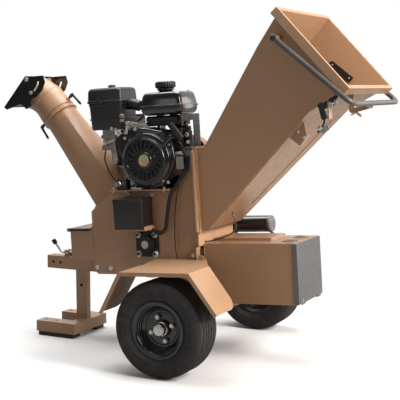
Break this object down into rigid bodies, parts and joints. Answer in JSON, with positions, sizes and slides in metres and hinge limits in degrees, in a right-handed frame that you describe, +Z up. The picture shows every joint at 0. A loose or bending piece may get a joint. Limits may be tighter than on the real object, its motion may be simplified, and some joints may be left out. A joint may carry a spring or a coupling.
{
  "type": "towable wood chipper",
  "caption": "Engine-driven wood chipper on a single axle, with a hinged infeed hopper, swivelling discharge chute, drawbar and drop stand.",
  "frame": {"origin": "on the ground, midway between the two wheels and straight under the axle", "axes": "+X to the infeed hopper (rear), -X to the drawbar, +Z up, -Y is the side with the recoil starter, battery and hopper hinge"},
  "size_m": [1.7938, 1.125, 1.4703],
  "materials": {
    "tan_paint": "satin",
    "tyre": "matte",
    "black_paint": "semi-gloss",
    "zinc": "satin",
    "cap_chrome": "polished",
    "bare_steel": "worn",
    "cast": "matte",
    "cast_black": "satin",
    "gear_case": "satin",
    "engine_case": "satin",
    "engine_metal": "cast",
    "black_plastic": "matte",
    "gloss_black": "gloss",
    "belt_rubber": "matte",
    "bar_grey": "satin",
    "panel_grey": "matte"
  },
  "bodies": {
    "chipper_body": {"axle": "tan_paint", "near_fender": "tan_paint", "far_fender": "tan_paint", "near_side_plate": "tan_paint", "far_side_plate": "tan_paint", "drum_casing": "tan_paint", "feed_box": "tan_paint", "engine_deck": "tan_paint", "front_box": "tan_paint", "drum_bearings": "cast_black", "frame_bolts": "zinc", "bed_knife": "bare_steel", "feed_gearbox": "gear_case", "feed_motor": "black_paint", "engine_block": "engine_case", "fan_shroud": "black_paint", "recoil_starter": "black_paint", "air_filter": "black_plastic", "carburettor": "engine_metal", "fuel_tank": "gloss_black", "muffler": "black_paint", "drive_belts": "belt_rubber", "belt_guard": "tan_paint", "battery": "black_plastic", "control_box": "black_plastic", "chute": "tan_paint", "hopper_hinge": "tan_paint", "rear_box": "tan_paint", "drawbar": "tan_paint"},
    "near_wheel": {"near_tyre": "tyre", "near_rim": "black_paint", "near_hub": "black_paint", "near_lug_nuts": "zinc", "near_hub_cap": "cap_chrome"},
    "far_wheel": {"far_tyre": "tyre", "far_rim": "black_paint", "far_hub": "black_paint", "far_lug_nuts": "zinc", "far_hub_cap": "cap_chrome"},
    "drum": {"drum_rotor": "bare_steel", "drum_knives": "bare_steel", "drum_pulley": "cast"},
    "crank": {"engine_pulley": "cast"},
    "roller": {"feed_roller": "bare_steel"},
    "hopper_assembly": {"hopper": "tan_paint", "bar_switch": "black_plastic"},
    "bar": {"safety_bar": "bar_grey"},
    "elbow": {"chute_elbow": "tan_paint"},
    "hood": {"deflector": "black_paint"},
    "front_clamp": {"front_clamp_lever": "black_plastic"},
    "rear_clamp": {"rear_clamp_lever": "black_plastic"},
    "stand": {"stand_post": "tan_paint", "stand_pads": "belt_rubber"},
    "stand_lever": {"stand_lock_lever": "zinc"},
    "lid": {"front_lid": "tan_paint"},
    "door": {"rear_panel": "panel_grey"},
    "cap": {"fuel_cap": "black_plastic"},
    "throttle": {"throttle_lever": "black_plastic"},
    "grip": {"starter_grip": "black_plastic"},
    "key": {"ignition_key": "zinc"}
  },
  "joints": [
    {"name": "near_wheel_spin", "type": "hinge", "parent": "chipper_body", "child": "near_wheel", "pos_m": [0, -0.48, 0.2], "axis": [0, 1, 0], "continuous": true},
    {"name": "far_wheel_spin", "type": "hinge", "parent": "chipper_body", "child": "far_wheel", "pos_m": [0, 0.48, 0.2], "axis": [0, 1, 0], "continuous": true},
    {"name": "drum_spin", "type": "hinge", "parent": "chipper_body", "child": "drum", "pos_m": [-0.25273, 0, 0.47807], "axis": [0, 1, 0], "continuous": true},
    {"name": "crank_spin", "type": "hinge", "parent": "chipper_body", "child": "crank", "pos_m": [-0.23788, 0.228, 0.84783], "axis": [0, 1, 0], "continuous": true},
    {"name": "feed_roller_spin", "type": "hinge", "parent": "chipper_body", "child": "roller", "pos_m": [-0.05787, 0, 0.50186], "axis": [0, 1, 0], "continuous": true},
    {"name": "hopper_swing", "type": "hinge", "parent": "chipper_body", "child": "hopper_assembly", "pos_m": [-0.01306, -0.194, 0.72026], "axis": [0.0654, 0, -0.9979], "range_deg": [0, 95]},
    {"name": "safety_bar_swing", "type": "hinge", "parent": "hopper_assembly", "child": "bar", "pos_m": [0.38969, 0, 1.34895], "axis": [0, 1, 0], "range_deg": [-20, 12]},
    {"name": "chute_turn", "type": "hinge", "parent": "chipper_body", "child": "elbow", "pos_m": [-0.83726, 0, 1.0467], "axis": [-0.6677, 0, 0.7445], "range_deg": [-90, 90]},
    {"name": "deflector_tilt", "type": "hinge", "parent": "elbow", "child": "hood", "pos_m": [-0.94007, 0, 1.19465], "axis": [0, 1, 0], "range_deg": [-8, 50]},
    {"name": "front_clamp_turn", "type": "hinge", "parent": "elbow", "child": "front_clamp", "pos_m": [-0.9117, 0, 0.97994], "axis": [-0.7445, 0, -0.6677], "range_deg": [-180, 180]},
    {"name": "rear_clamp_turn", "type": "hinge", "parent": "elbow", "child": "rear_clamp", "pos_m": [-0.76281, 0, 1.11347], "axis": [0.7445, 0, 0.6677], "range_deg": [-180, 180]},
    {"name": "stand_slide", "type": "slide", "parent": "chipper_body", "child": "stand", "axis": [0, 0, 1], "range_m": [0, 0.205]},
    {"name": "stand_lock_turn", "type": "hinge", "parent": "chipper_body", "child": "stand_lever", "pos_m": [-0.78, 0, 0.38], "axis": [0, 1, 0], "range_deg": [0, 60]},
    {"name": "front_lid_open", "type": "hinge", "parent": "chipper_body", "child": "lid", "pos_m": [-0.54834, 0, 0.53135], "axis": [0, 1, 0], "range_deg": [0, 65]},
    {"name": "rear_panel_open", "type": "hinge", "parent": "chipper_body", "child": "door", "pos_m": [0.44269, 0, 0.26509], "axis": [0, 1, 0], "range_deg": [0, 100]},
    {"name": "fuel_cap_turn", "type": "hinge", "parent": "chipper_body", "child": "cap", "pos_m": [-0.21278, -0.082, 1.16816], "axis": [-0.0654, 0, 0.9979], "range_deg": [0, 120]},
    {"name": "throttle_move", "type": "hinge", "parent": "chipper_body", "child": "throttle", "pos_m": [-0.34072, -0.21, 0.96435], "axis": [0, 1, 0], "range_deg": [-20, 25]},
    {"name": "starter_pull", "type": "slide", "parent": "chipper_body", "child": "grip", "axis": [0.4223, -0.799, 0.428], "range_m": [0, 0.4]},
    {"name": "key_turn", "type": "hinge", "parent": "chipper_body", "child": "key", "pos_m": [-0.37703, -0.21, 0.73849], "axis": [0, 1, 0], "range_deg": [0, 90]}
  ],
  "couplings": [
    {"joint": "crank_spin", "follows": "drum_spin", "ratio": 1.5385}
  ]
}
